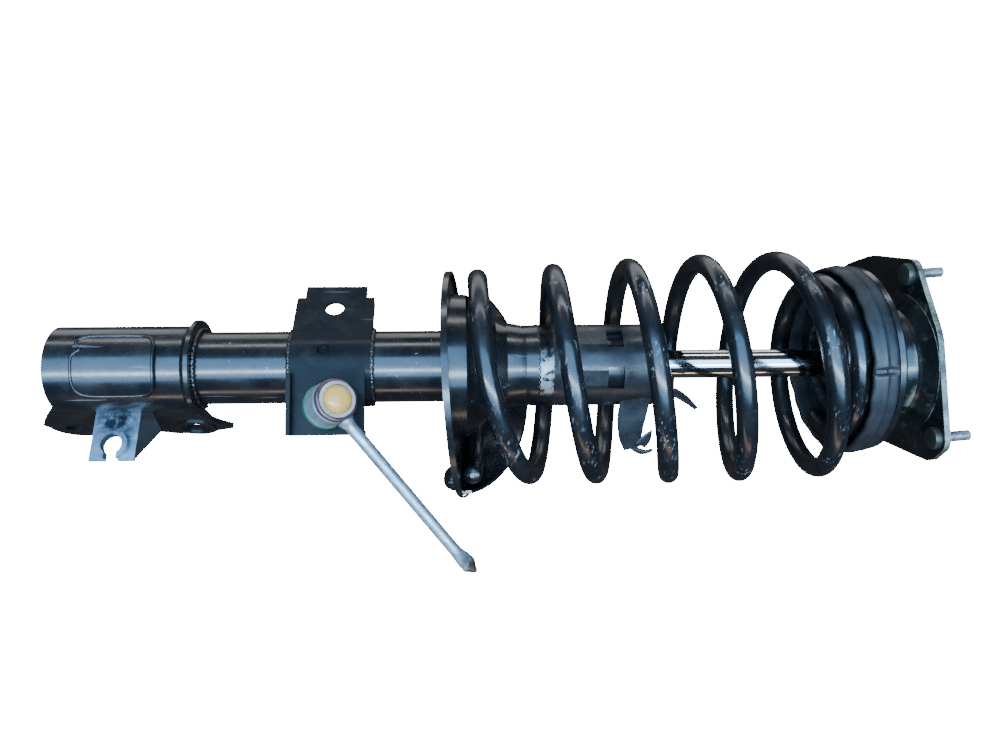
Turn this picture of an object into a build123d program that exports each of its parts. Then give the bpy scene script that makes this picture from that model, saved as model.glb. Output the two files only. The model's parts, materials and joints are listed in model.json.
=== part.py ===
from build123d import *
import math
import os

# Front strut assembly of a car: damper, coil spring, top mount, knuckle bracket and stabiliser link.
# Millimetres. +Z runs up the damper rod, +X points outboard, the way the knuckle bracket's ears point.
# The origin is the centre of the top mount plate's upper, seating face.

# Directions round the damper axis, in degrees from +X.
LINK_SIDE = 202.0
FENDER_SIDE = 292.0
ENGINE_SIDE = 112.0

# Damper.
TUBE_R = 27.0
TUBE_WALL = 2.5
TUBE_BOTTOM = -640.0
TUBE_TOP = -222.0
INNER_TUBE_R = 20.0
INNER_TUBE_WALL = 1.5
ROD_R = 11.0
ROD_THREAD_R = 6.0
ROD_SHOULDER = -45.0
ROD_BOTTOM = -292.5
RUN_GAP = 0.05

# Top mount, tilted on the damper axis.
# Each swell of the plate's outline: place towards link side, towards fender side, radius.
MOUNT_TILT = 4.0
MOUNT_T = 4.5
STUD_CIRCLE_R = 71.0
STUD_R = 4.0
STUD_SPLINE = 0.4
STUD_LENGTH = 21.0
FIRST_STUD = 14.0
LOBE_R = 11.0
CUP_R = 38.5
CUP_T = 3.0
CUP_DEPTH = 30.0
PLATE_SWELLS = [
    (-58.0, -57.0, 30.0),
    (-28.0, -58.0, 30.0),
    (22.0, -12.0, 34.0),
    (30.0, 56.0, 18.0),
    (-35.0, 33.0, 30.0),
]
CORE_R = 21.0
BALL_CIRCLE_R = 15.5
BALL_R = 2.4
BALL_Z = -8.5
BALL_COUNT = 14

# Upper spring seat and its rubber.
UPPER_SEAT_Z = -36.0
UPPER_SEAT_R = 71.0
INSULATOR_R = 72.5
INSULATOR_SHIFT = 6.0
INSULATOR_RIM_Z = -61.0
INSULATOR_PAD_Z = -48.0

# Coil spring: turns, centre-line radius, height, and how far the outboard side stands above it.
WIRE_R = 7.55
SPRING_STATIONS = [
    (0.00, 74.0, -337.6, 0.0),
    (0.14, 74.0, -333.4, 0.8),
    (0.70, 74.0, -327.0, 4.4),
    (1.00, 75.5, -294.0, 8.0),
    (1.40, 76.0, -278.0, 13.0),
    (2.40, 78.5, -221.5, 12.3),
    (3.40, 80.0, -167.5, 9.7),
    (4.40, 80.5, -111.5, 7.3),
    (5.00, 79.5, -73.5, 5.0),
    (5.35, 67.0, -73.0, 4.0),
    (5.80, 56.0, -58.5, 3.6),
    (6.10, 55.5, -57.6, 3.6),
]
SPRING_POINTS_PER_TURN = 12
SPRING_OFFSET_LOW = 9.0
SPRING_OFFSET_HIGH = -0.5
SPRING_LEAN_SIDE = 10.0

# Lower spring seat.
SEAT_R = 85.0
SEAT_T = 2.5
SEAT_OFFSET = 13.0
SEAT_AWAY = 2.5
SEAT_TILT = 5.6
SEAT_HIGH_SIDE = -8.0
SEAT_FLOOR = -349.8
SEAT_RIM = 2.0
SEAT_WALL_SLOPE = 0.635
SEAT_WALL_PEAK = 15.0
SEAT_WALL_END = 76.0
HUB_R = 31.0
HUB_TOP = -289.0
HUB_FOOT_R = 55.0
SLEEVE_BOTTOM = -278.0
SLEEVE_TOP = -194.0
SLEEVE_TEETH = [(LINK_SIDE - 30, 8), (LINK_SIDE + 75, 6), (LINK_SIDE + 160, 3), (LINK_SIDE + 245, 7)]

# Knuckle bracket.
KNUCKLE_T = 4.5
EAR_GAP = 24.0
EAR_HOLE_R = 7.25
EAR_HOLE_X = 53.0
UPPER_EAR_Z = -556.0
LOWER_EAR_Z = -649.0
WRAP_TOP = -541.0

# Brake hose bracket.
HOSE_T = 2.5
HOSE_X = 20.0
HOSE_Y = -53.5
HOSE_Z = -603.0
HOSE_R = 7.5
HOSE_SLOT = 9.0
HOSE_HALF_HEIGHT = 16.5

# Stabiliser link bracket.
LINK_T = 3.0
LINK_BOTTOM = -469.0
LINK_TOP = -411.0
LINK_EAR_REACH = 52.0
SPARE_EAR_NORMAL = 162.0
SPARE_HOLE_R = 7.0
LINK_EAR_NORMAL = 196.0
LINK_HOLE_Z = -435.0
LINK_HOLE_D = 31.0
LINK_STUD_R = 5.0

# Stabiliser link.
BALL_OUT = 24.0
LINK_BALL_R = 8.0
HOUSING_R = 15.0
HOUSING_HALF = 12.0
LINK_SWIVEL = 31.0
LINK_ROD_R = 4.4
LINK_ROD_END = 160.0
ROD_RISE = 0.46


def direction(degrees):
    """Unit vector square to Z at an angle from +X."""
    return Vector(math.cos(math.radians(degrees)), math.sin(math.radians(degrees)), 0)


def ring(outer, inner, low, high):
    """Upright tube or washer on the damper axis."""
    body = Pos(0, 0, (low + high) / 2) * Cylinder(outer, high - low)
    if inner > 0:
        body -= Pos(0, 0, (low + high) / 2) * Cylinder(inner, high - low + 2)
    return body


def turned(points):
    """Solid of revolution about Z from (radius, height) points."""
    return revolve(Plane.XZ * make_face(Polyline(*points, close=True)), Axis.Z, 360)


def tilt(shape, degrees, height, high_side=FENDER_SIDE):
    """Lean a shape so that one side stands higher, about a point on the damper axis."""
    return shape.rotate(Axis((0, 0, height), tuple(direction(high_side - 90))), degrees)


def slab(normal, along_low, along_high, low, high, inner, thickness):
    """Upright flat sheet tangent to a circle round the damper axis."""
    across = direction(normal + 90)
    out = direction(normal)
    centre = out * (inner + thickness / 2) + across * ((along_low + along_high) / 2)
    plane = Plane(origin=(centre.X, centre.Y, (low + high) / 2), x_dir=tuple(across), z_dir=(0, 0, 1))
    return plane * Box(along_high - along_low, thickness, high - low)


def hexagon_nut(across_flats, bore, low, high):
    face = RegularPolygon(across_flats / 2, 6, major_radius=False) - Circle(bore)
    return Pos(0, 0, low) * extrude(face, high - low)


def stud_angles():
    return [FIRST_STUD + 120 * index for index in range(3)]


# ---- Top mount -------------------------------------------------------------------------------------

def mount_plate():
    """Pressed plate with a lobe at each stud, swells between them, and a deep cup."""
    rounds = [Pos(*(direction(a) * STUD_CIRCLE_R)) * Circle(LOBE_R) for a in stud_angles()]
    for near, fender, radius in PLATE_SWELLS:
        rounds.append(Pos(*(direction(LINK_SIDE) * near + direction(FENDER_SIDE) * fender)) * Circle(radius))
    outline = make_hull([edge for shape in rounds for edge in shape.edges()])
    plate = extrude(outline, -MOUNT_T)
    plate += turned([
        (CUP_R, -1), (CUP_R + 17, -MOUNT_T + 1), (CUP_R + 17, -MOUNT_T - 0.5), (CUP_R + 5, -10),
        (CUP_R + CUP_T, -12), (CUP_R + CUP_T, -CUP_DEPTH), (CUP_R, -CUP_DEPTH),
    ])
    plate -= ring(CUP_R, 0, -MOUNT_T - 1, 1)
    plate += turned([(CUP_R, 0), (33, 6), (30, 6), (30, 3.5), (CUP_R, -MOUNT_T)])
    for angle in stud_angles():
        place = direction(angle) * STUD_CIRCLE_R
        plate -= Pos(place.X, place.Y, 0) * Cylinder(STUD_R + STUD_SPLINE, 4 * MOUNT_T)
    return plate


def mount_stud(angle):
    place = direction(angle) * STUD_CIRCLE_R
    stud = ring(STUD_R, 0, -MOUNT_T, STUD_LENGTH - 1.5)
    stud += ring(STUD_R + STUD_SPLINE, 0, -MOUNT_T, 0)
    head = -MOUNT_T - 5
    stud += turned([(0, -MOUNT_T), (8.5, -MOUNT_T), (8.5, head + 2), (6.5, head), (0, head)])
    low = STUD_LENGTH - 1.5
    stud += turned([(0, low), (STUD_R, low), (2.8, STUD_LENGTH), (0, STUD_LENGTH)])
    return Pos(place.X, place.Y, 0) * stud


def mount_rubber():
    return turned([
        (CORE_R, 5), (29.9, 5), (29.9, 3.4), (CUP_R, -MOUNT_T - 0.2), (CUP_R, -CUP_DEPTH + 2),
        (CORE_R, -CUP_DEPTH + 2),
    ])


def mount_core():
    core = ring(CORE_R, 18.2, -CUP_DEPTH + 1, 6)
    core += ring(CORE_R + 7, 16.5, 6, 8)
    return core


def bearing_race(outer, inner):
    """Race with a groove for the balls."""
    section = Pos((outer + inner) / 2, BALL_Z) * Rectangle(outer - inner, 9)
    section -= Pos(BALL_CIRCLE_R, BALL_Z) * Circle(BALL_R + RUN_GAP)
    return revolve(Plane.XZ * section, Axis.Z, 360)


def bearing_outer_race():
    return bearing_race(18.2, BALL_CIRCLE_R + 1)


def bearing_inner_race():
    return bearing_race(BALL_CIRCLE_R - 1, 8.0)


def bearing_balls():
    balls = Part()
    for index in range(BALL_COUNT):
        balls += Rot(0, 0, 360 * index / BALL_COUNT) * Pos(BALL_CIRCLE_R, 0, BALL_Z) * Sphere(BALL_R)
    return balls


# ---- Rod, upper seat and bump stop -----------------------------------------------------------------

def piston_rod():
    rod = ring(ROD_R, 0, ROD_BOTTOM + 22, ROD_SHOULDER)
    rod += ring(ROD_THREAD_R, 0, ROD_SHOULDER, 17)
    rod += ring(7.0, 0, ROD_BOTTOM, ROD_BOTTOM + 22)
    return rod


def rod_spacer(inner_race):
    """Sleeve that carries the tilted inner race square to the rod."""
    sleeve = ring(9.9, ROD_THREAD_R, ROD_SHOULDER + 6, 1.5)
    return sleeve - inner_race


def rod_washer():
    return ring(14.5, ROD_THREAD_R, 1.5, 4)


def rod_nut():
    return hexagon_nut(19, ROD_THREAD_R, 4, 13)


def upper_spring_seat():
    """Flanged disc, set towards the engine side, with its hole on the rod."""
    seat = turned([
        (0, UPPER_SEAT_Z), (UPPER_SEAT_R - 2, UPPER_SEAT_Z), (UPPER_SEAT_R, UPPER_SEAT_Z - 2),
        (UPPER_SEAT_R, UPPER_SEAT_Z - 6), (UPPER_SEAT_R - 2.5, UPPER_SEAT_Z - 6),
        (UPPER_SEAT_R - 2.5, UPPER_SEAT_Z - 3), (0, UPPER_SEAT_Z - 3),
    ])
    shift = direction(ENGINE_SIDE) * INSULATOR_SHIFT
    return Pos(shift.X, shift.Y, 0) * seat - ring(13.5, 0, UPPER_SEAT_Z - 10, UPPER_SEAT_Z + 5)


def upper_insulator():
    top = UPPER_SEAT_Z - 3.1
    rubber = turned([
        (40, top), (UPPER_SEAT_R - 2.6, top), (UPPER_SEAT_R - 2.6, top - 3.2), (INSULATOR_R, top - 3.2),
        (INSULATOR_R, INSULATOR_RIM_Z), (68.3, INSULATOR_RIM_Z), (67, INSULATOR_PAD_Z),
        (46, INSULATOR_PAD_Z), (45, -56), (40, -56),
    ])
    shift = direction(ENGINE_SIDE) * INSULATOR_SHIFT
    return Pos(shift.X, shift.Y, 0) * rubber


def seat_retainer(tilted_seat):
    """Washer under the upper spring seat, square to the rod and let into the seat."""
    return ring(20, ROD_THREAD_R, ROD_SHOULDER, ROD_SHOULDER + 6) - tilted_seat


def bump_stop_cup():
    return turned([
        (11.3, -45.5), (32.0, -45.5), (32.0, -53), (30.2, -53), (30.2, -47.5), (11.3, -47.5),
    ])


def bump_stop():
    return turned([
        (11.6, -47.7), (29.8, -47.7), (29.8, -50), (25, -53), (22, -54), (20, -57), (16, -59), (11.6, -59),
    ])


def piston():
    body = ring(INNER_TUBE_R - INNER_TUBE_WALL - 0.08, 7.0, ROD_BOTTOM + 6, ROD_BOTTOM + 20)
    body -= ring(INNER_TUBE_R, INNER_TUBE_R - INNER_TUBE_WALL - 1.6, ROD_BOTTOM + 9, ROD_BOTTOM + 17)
    for index in range(6):
        body -= Rot(0, 0, 60 * index) * Pos(12.3, 0, ROD_BOTTOM + 13) * Cylinder(1.6, 20)
    return body


def piston_ring():
    outer = INNER_TUBE_R - INNER_TUBE_WALL - 0.04
    return ring(outer, outer - 1.5, ROD_BOTTOM + 9.1, ROD_BOTTOM + 16.9)


def piston_nut():
    return hexagon_nut(18, 7.0, ROD_BOTTOM - 1, ROD_BOTTOM + 6)


def rebound_stop():
    return ring(15.5, ROD_R, ROD_BOTTOM + 24, ROD_BOTTOM + 38)


# ---- Coil spring -----------------------------------------------------------------------------------

def station(turns, column):
    """Value of one spring station column at a number of turns, by straight interpolation."""
    for first, second in zip(SPRING_STATIONS, SPRING_STATIONS[1:]):
        if turns <= second[0]:
            share = (turns - first[0]) / (second[0] - first[0])
            return first[column] + share * (second[column] - first[column])
    return SPRING_STATIONS[-1][column]


def spring_point(turns):
    """Centre-line point; the wire starts at the fender side and turns by way of the outboard side."""
    angle = FENDER_SIDE + 360 * turns
    share = turns / SPRING_STATIONS[-1][0]
    offset = SPRING_OFFSET_LOW + share * (SPRING_OFFSET_HIGH - SPRING_OFFSET_LOW)
    radius = station(turns, 1)
    lean = station(turns, 3) * math.cos(math.radians(angle - SPRING_LEAN_SIDE))
    flat = direction(angle) * radius + direction(FENDER_SIDE) * offset
    return Vector(flat.X, flat.Y, station(turns, 2) + lean)


def coil_spring():
    total = SPRING_STATIONS[-1][0]
    count = round(total * SPRING_POINTS_PER_TURN)
    points = [spring_point(total * i / count) for i in range(count + 1)]
    edges = []
    last = points[0]
    for before, corner, after in zip(points, points[1:], points[2:]):
        run_in = (before - corner).length
        run_out = (after - corner).length
        reach = 0.45 * min(run_in, run_out)
        start = corner + (before - corner).normalized() * reach
        end = corner + (after - corner).normalized() * reach
        half = math.radians((corner - before).get_angle(after - corner)) / 2
        radius = reach / math.tan(half)
        middle_way = ((before - corner).normalized() + (after - corner).normalized()).normalized()
        middle = corner + middle_way * (radius / math.cos(half) - radius)
        edges.append(Line(last, start))
        edges.append(ThreePointArc(start, middle, end))
        last = end
    edges.append(Line(last, points[-1]))
    path = Wire([piece.edge() for piece in edges])
    profile = Plane(origin=path @ 0, z_dir=path % 0) * Circle(WIRE_R)
    return sweep(profile, path)


# ---- Damper tube -----------------------------------------------------------------------------------

def strut_tube():
    return ring(TUBE_R, TUBE_R - TUBE_WALL, TUBE_BOTTOM, TUBE_TOP)


def base_cup():
    inner = TUBE_R - TUBE_WALL
    wall = ring(inner, inner - 2, TUBE_BOTTOM + 1, TUBE_BOTTOM + 14)
    return wall + ring(inner, 0, TUBE_BOTTOM + 1, TUBE_BOTTOM + 5)


def inner_tube():
    return ring(INNER_TUBE_R, INNER_TUBE_R - INNER_TUBE_WALL, TUBE_BOTTOM + 14, TUBE_TOP - 26)


def base_valve():
    body = ring(INNER_TUBE_R, 0, TUBE_BOTTOM + 9, TUBE_BOTTOM + 14)
    body += ring(INNER_TUBE_R - INNER_TUBE_WALL, 0, TUBE_BOTTOM + 14, TUBE_BOTTOM + 19)
    for index in range(4):
        body -= Rot(0, 0, 90 * index) * Pos(11, 0, TUBE_BOTTOM + 14) * Cylinder(2, 12)
    return body


def rod_guide():
    inner = TUBE_R - TUBE_WALL
    body = ring(inner, 13.0, TUBE_TOP - 26, TUBE_TOP - 10)
    return body + ring(INNER_TUBE_R - INNER_TUBE_WALL, 13.0, TUBE_TOP - 32, TUBE_TOP - 26)


def guide_bush():
    return ring(13.0, ROD_R + RUN_GAP, TUBE_TOP - 31, TUBE_TOP - 11)


def rod_seal():
    return ring(TUBE_R - TUBE_WALL, ROD_R + 0.1, TUBE_TOP - 10, TUBE_TOP - 3)


def tube_cap():
    cap = ring(TUBE_R + 1.4, ROD_R + 1.0, TUBE_TOP, TUBE_TOP + 3)
    return cap + ring(TUBE_R - TUBE_WALL, ROD_R + 1.0, TUBE_TOP - 3, TUBE_TOP)


def hub_ring():
    """Bare steel band on the tube between the seat's hub and the dust sleeve."""
    return ring(HUB_R, TUBE_R, HUB_TOP, SLEEVE_BOTTOM)


def dust_cover():
    """Broken plastic sleeve with a ring of windows and two hanging straps."""
    inner = TUBE_R + 1.5
    sleeve = ring(HUB_R, inner, SLEEVE_BOTTOM, SLEEVE_TOP - 8)
    for index in range(6):
        turn = Rot(0, 0, LINK_SIDE - 40 + 60 * index)
        sleeve -= turn * Pos(HUB_R, 0, -232) * Box(8, 17, 12)
        sleeve -= turn * Pos(HUB_R + 0.6, 0, -249) * Box(2.4, 15, 22)
    for angle, height in SLEEVE_TEETH:
        tooth = ring(HUB_R, inner, SLEEVE_TOP - 8, SLEEVE_TOP - 8 + height)
        sleeve += tooth & (Rot(0, 0, angle) * Pos(HUB_R, 0, SLEEVE_TOP - 4) * Box(20, 26, 12))
    return sleeve


# ---- Lower spring seat -----------------------------------------------------------------------------

def seat_dish():
    """Dish with a low rim and a wall on the outboard side, leaning so that the outboard side is up."""
    wall_top = SEAT_FLOOR + SEAT_R * SEAT_WALL_SLOPE
    dish = ring(SEAT_R, SEAT_R - SEAT_T, SEAT_FLOOR - SEAT_T, wall_top)
    normal = Vector(0, 0, 1) - direction(SEAT_WALL_PEAK) * SEAT_WALL_SLOPE
    slope = Plane(origin=(0, 0, SEAT_FLOOR), z_dir=tuple(normal))
    above_wall = slope * Pos(0, 0, 200) * Box(600, 600, 400)
    no_wall = [direction(angle) * 300 for angle in (SEAT_WALL_END, 130, 186, 240, FENDER_SIDE)]
    sector = make_face(Polyline((0, 0), *[(p.X, p.Y) for p in no_wall], close=True))
    above_rim = Pos(0, 0, SEAT_FLOOR + SEAT_RIM) * extrude(sector, 200)
    dish -= above_wall & (Pos(0, 0, SEAT_FLOOR + SEAT_RIM + 200) * Box(600, 600, 400))
    dish -= above_rim
    dish += ring(SEAT_R - SEAT_T / 2, 0, SEAT_FLOOR - SEAT_T, SEAT_FLOOR)
    shift = direction(FENDER_SIDE) * SEAT_OFFSET - direction(LINK_SIDE) * SEAT_AWAY
    leaning = tilt(Pos(shift.X, shift.Y, 0) * dish, SEAT_TILT, SEAT_FLOOR, SEAT_HIGH_SIDE)
    return leaning - ring(HUB_FOOT_R - 2.5, 0, SEAT_FLOOR - 40, SEAT_FLOOR + 40)


def seat_hub():
    """Trumpet that joins the dish to the tube, its foot trimmed level with the leaning dish."""
    outer = [
        (HUB_R, HUB_TOP), (HUB_R - 0.5, -298), (32.8, -312), (36.5, -320), (41.5, -326), (49, -333),
        (HUB_FOOT_R - 1, -342), (HUB_FOOT_R, -365),
    ]
    inner = [
        (HUB_FOOT_R - 3.5, -365), (HUB_FOOT_R - 4.5, -344), (46.5, -336), (39, -329.5), (33.5, -323),
        (29.5, -315), (TUBE_R, -310), (TUBE_R, HUB_TOP),
    ]
    below = Pos(0, 0, SEAT_FLOOR - SEAT_T - 50) * Box(300, 300, 100)
    return turned(outer + inner) - tilt(below, SEAT_TILT, SEAT_FLOOR, SEAT_HIGH_SIDE)


def lower_spring_seat():
    return seat_dish() + seat_hub()


# ---- Knuckle bracket -------------------------------------------------------------------------------

def ear_outline():
    """Ear in the XZ plane, with round lobes at both bolt holes and a hollow edge between them."""
    flat = make_face(Polyline(
        (11, -541), (40, -540), (50, -534), (57, -528), (61, -538), (69, -556), (69, -649), (62, -664),
        (44, -670), (28, -660), (11, -648), close=True,
    ))
    flat += Pos(EAR_HOLE_X, UPPER_EAR_Z) * Circle(17)
    flat += Pos(EAR_HOLE_X, LOWER_EAR_Z) * Circle(18.5)
    flat -= Pos(EAR_HOLE_X + 61, (UPPER_EAR_Z + LOWER_EAR_Z) / 2) * Circle(52)
    for height in (UPPER_EAR_Z, LOWER_EAR_Z):
        flat -= Pos(EAR_HOLE_X, height) * Circle(EAR_HOLE_R)
    return flat


def knuckle_bracket():
    outer = TUBE_R + KNUCKLE_T
    wrap = ring(outer, TUBE_R, TUBE_BOTTOM, WRAP_TOP)
    wrap += turned([
        (TUBE_R, WRAP_TOP - 4), (outer, WRAP_TOP - 4), (36, WRAP_TOP), (36, WRAP_TOP + 3),
        (TUBE_R + 3, WRAP_TOP + 3), (TUBE_R, WRAP_TOP),
    ])
    wrap -= Pos(64, 0, -590) * Box(100, 100, 200)
    emboss = ring(outer + 2.2, outer - 1, -619, -563)
    window = extrude(RectangleRounded(56, 46, 10), 40, both=True)
    wrap += emboss & Rot(0, 0, LINK_SIDE - 4) * Pos(40, 0, -591) * Rot(0, 90, 0) * window
    bracket = wrap
    for side in (-1, 1):
        ear = extrude(Plane.XZ * ear_outline(), KNUCKLE_T)
        middle = side * (EAR_GAP + KNUCKLE_T / 2)
        bracket += Pos(0, middle + KNUCKLE_T / 2, 0) * ear
        boss = extrude(Plane.XZ * (Circle(15) - Circle(11)), 1.2)
        place = middle + (KNUCKLE_T / 2 + 1.2 if side > 0 else -KNUCKLE_T / 2)
        bracket += Pos(EAR_HOLE_X, place, UPPER_EAR_Z) * boss
    bracket -= ring(TUBE_R, 0, TUBE_BOTTOM - 10, WRAP_TOP + 10)
    return bracket


def hose_bracket():
    """Clip plate for the brake hose, square to the ear, with a collared hole open at the outer edge."""
    ear_face = -(EAR_GAP + KNUCKLE_T)
    outer_edge = HOSE_Y - 11.5
    width = ear_face - outer_edge
    plate = Pos(HOSE_X, (ear_face + outer_edge) / 2, HOSE_Z) * Box(HOSE_T, width, 2 * HOSE_HALF_HEIGHT)
    foot = Pos(HOSE_X + 9, ear_face - HOSE_T / 2, HOSE_Z) * Box(20, HOSE_T, 2 * HOSE_HALF_HEIGHT)
    collar = Pos(HOSE_X - 2.5, HOSE_Y, HOSE_Z) * Rot(0, 90, 0) * Cylinder(HOSE_R + 4, 7)
    bracket = plate + foot + collar
    bracket -= Pos(HOSE_X, HOSE_Y, HOSE_Z) * Rot(0, 90, 0) * Cylinder(HOSE_R, 30)
    bracket -= Pos(HOSE_X, HOSE_Y - 15, HOSE_Z) * Box(30, 30, HOSE_SLOT)
    return bracket


def hose_gusset():
    ear_face = -(EAR_GAP + KNUCKLE_T)
    top = HOSE_Z + HOSE_HALF_HEIGHT
    corners = [(ear_face, top), (ear_face, top + 9), (ear_face - 13, top + 16.5), (-63, top)]
    outline = make_face(Polyline(*corners, close=True))
    return Pos(HOSE_X - HOSE_T / 2, 0, 0) * extrude(Plane.YZ * outline, HOSE_T)


# ---- Stabiliser link bracket -----------------------------------------------------------------------

def spare_ear():
    middle = (LINK_BOTTOM + LINK_TOP) / 2
    ear = slab(SPARE_EAR_NORMAL, -56, 0, LINK_BOTTOM + 6, LINK_TOP - 6, TUBE_R, LINK_T)
    ear += slab(SPARE_EAR_NORMAL, -44, 0, LINK_BOTTOM, LINK_BOTTOM + LINK_T, TUBE_R - 5, LINK_T + 5)
    ear += slab(SPARE_EAR_NORMAL, -44, 0, LINK_TOP - LINK_T, LINK_TOP, TUBE_R - 5, LINK_T + 5)
    ear += slab(SPARE_EAR_NORMAL, -44, 0, LINK_BOTTOM, LINK_TOP, TUBE_R, LINK_T)
    place = direction(SPARE_EAR_NORMAL) * TUBE_R + direction(SPARE_EAR_NORMAL - 90) * 33
    face = Plane(origin=(place.X, place.Y, middle), z_dir=tuple(direction(SPARE_EAR_NORMAL)))
    return ear - face * Cylinder(SPARE_HOLE_R, 20)


def link_ear():
    reach = LINK_EAR_REACH
    ear = slab(LINK_EAR_NORMAL, 0, reach, LINK_BOTTOM, LINK_TOP - 4, TUBE_R, LINK_T)
    ear += slab(LINK_EAR_NORMAL, 8, reach, LINK_BOTTOM, LINK_BOTTOM + LINK_T, TUBE_R, LINK_T + 8)
    ear += slab(LINK_EAR_NORMAL, reach - 3, reach, LINK_BOTTOM, LINK_TOP - 4, TUBE_R - 9, LINK_T + 9)
    face = Plane(origin=tuple(link_hole_centre()), z_dir=tuple(direction(LINK_EAR_NORMAL)))
    return ear - face * Cylinder(LINK_STUD_R + 0.1, 30)


def link_bracket():
    saddle = ring(TUBE_R + LINK_T, TUBE_R, LINK_BOTTOM, LINK_TOP)
    away = direction(LINK_SIDE + 180)
    middle = (LINK_BOTTOM + LINK_TOP) / 2
    cut = Plane(origin=(away.X * 57, away.Y * 57, middle), x_dir=tuple(away), z_dir=(0, 0, 1))
    saddle -= cut * Box(100, 100, 100)
    bracket = saddle + spare_ear() + link_ear()
    bracket -= ring(TUBE_R, 0, LINK_BOTTOM - 5, LINK_TOP + 5)
    hole = Rot(0, 0, LINK_SIDE - 25) * Pos(TUBE_R, 0, -445) * Rot(0, 90, 0) * Cylinder(4.3, 12)
    return bracket - hole


# ---- Stabiliser link -------------------------------------------------------------------------------

def link_hole_centre():
    flat = direction(LINK_EAR_NORMAL) * (TUBE_R + LINK_T) + direction(LINK_EAR_NORMAL + 90) * LINK_HOLE_D
    return Vector(flat.X, flat.Y, LINK_HOLE_Z)


def ball_centre():
    return link_hole_centre() + direction(LINK_EAR_NORMAL) * BALL_OUT


def housing_axis():
    """Housing axis, swivelled off the stud's axis, mostly up the strut."""
    outward = direction(LINK_EAR_NORMAL)
    lean = (Vector(0, 0, 0.96) + direction(ENGINE_SIDE) * 0.27).normalized()
    angle = math.radians(LINK_SWIVEL)
    return (outward * math.cos(angle) + lean * math.sin(angle)).normalized()


def rod_direction():
    """Link rod direction, square to the housing axis, to the fender side and up the strut."""
    wish = direction(FENDER_SIDE) * 0.73 + Vector(0, 0, ROD_RISE) - direction(LINK_SIDE) * 0.27
    axis = housing_axis()
    return (wish - axis * wish.dot(axis)).normalized()


def stud_plane():
    return Plane(origin=tuple(ball_centre()), z_dir=tuple(direction(LINK_EAR_NORMAL)))


def housing_plane():
    return Plane(origin=tuple(ball_centre()), x_dir=tuple(rod_direction()), z_dir=tuple(housing_axis()))


def link_ball_stud():
    stud = Sphere(LINK_BALL_R)
    stud += ring(3.6, 0, -BALL_OUT + 1, 0)
    stud += ring(8.0, 0, -BALL_OUT, -BALL_OUT + 3)
    stud += ring(LINK_STUD_R, 0, -BALL_OUT - 14, -BALL_OUT)
    return stud_plane() * stud


def link_nut():
    low = -BALL_OUT - LINK_T - 7
    high = -BALL_OUT - LINK_T
    nut = hexagon_nut(15, LINK_STUD_R, low, high - 2) + ring(10, LINK_STUD_R, high - 2, high)
    return stud_plane() * nut


def link_boot():
    return stud_plane() * ring(9.5, 3.6, -BALL_OUT + 3, -BALL_OUT + 5.4)


def link_socket():
    """Plastic ball seat, turning with the housing about the stud but staying square to the stud."""
    shell = Sphere(LINK_BALL_R + 2.2) - Sphere(LINK_BALL_R + 0.25)
    shell -= Pos(0, 0, -12.5) * Box(40, 40, 20)
    return stud_plane() * shell


def link_housing():
    body = ring(HOUSING_R, 0, -HOUSING_HALF, HOUSING_HALF)
    body -= Sphere(LINK_BALL_R + 2.5)
    body -= turned([(0, -2), (7.8, -5), (12.3, -HOUSING_HALF - 0.1), (0, -HOUSING_HALF - 0.1)])
    body -= ring(11.5, 0, 7, HOUSING_HALF + 1)
    return housing_plane() * body


def link_cap_ring():
    return housing_plane() * ring(12.6, 10.2, HOUSING_HALF, HOUSING_HALF + 1.2)


def link_cap():
    dome = ring(11.45, 0, 10.6, HOUSING_HALF) + ring(10.1, 0, HOUSING_HALF, HOUSING_HALF + 1.5)
    crown = Pos(0, 0, HOUSING_HALF - 8) * Sphere(14)
    dome += crown & ring(10.1, 0, HOUSING_HALF + 1, HOUSING_HALF + 8)
    return housing_plane() * dome


def boot_ring():
    return housing_plane() * ring(HOUSING_R + 1, HOUSING_R, -HOUSING_HALF, -HOUSING_HALF + 3)


def link_rod():
    rod = Cylinder(LINK_ROD_R, LINK_ROD_END - HOUSING_R - 6, align=(Align.CENTER, Align.CENTER, Align.MIN))
    rod = Pos(0, 0, HOUSING_R - 2) * rod
    rod += Pos(0, 0, LINK_ROD_END - 10) * Box(6.4, 13, 20)
    rod += Pos(0, 0, HOUSING_R + 1) * Cone(7, LINK_ROD_R, 8)
    rod = housing_plane() * Rot(0, 90, 0) * rod
    return rod - housing_plane() * ring(HOUSING_R, 0, -HOUSING_HALF - 5, HOUSING_HALF + 5)


# ---- Sub-parts -------------------------------------------------------------------------------------

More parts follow.
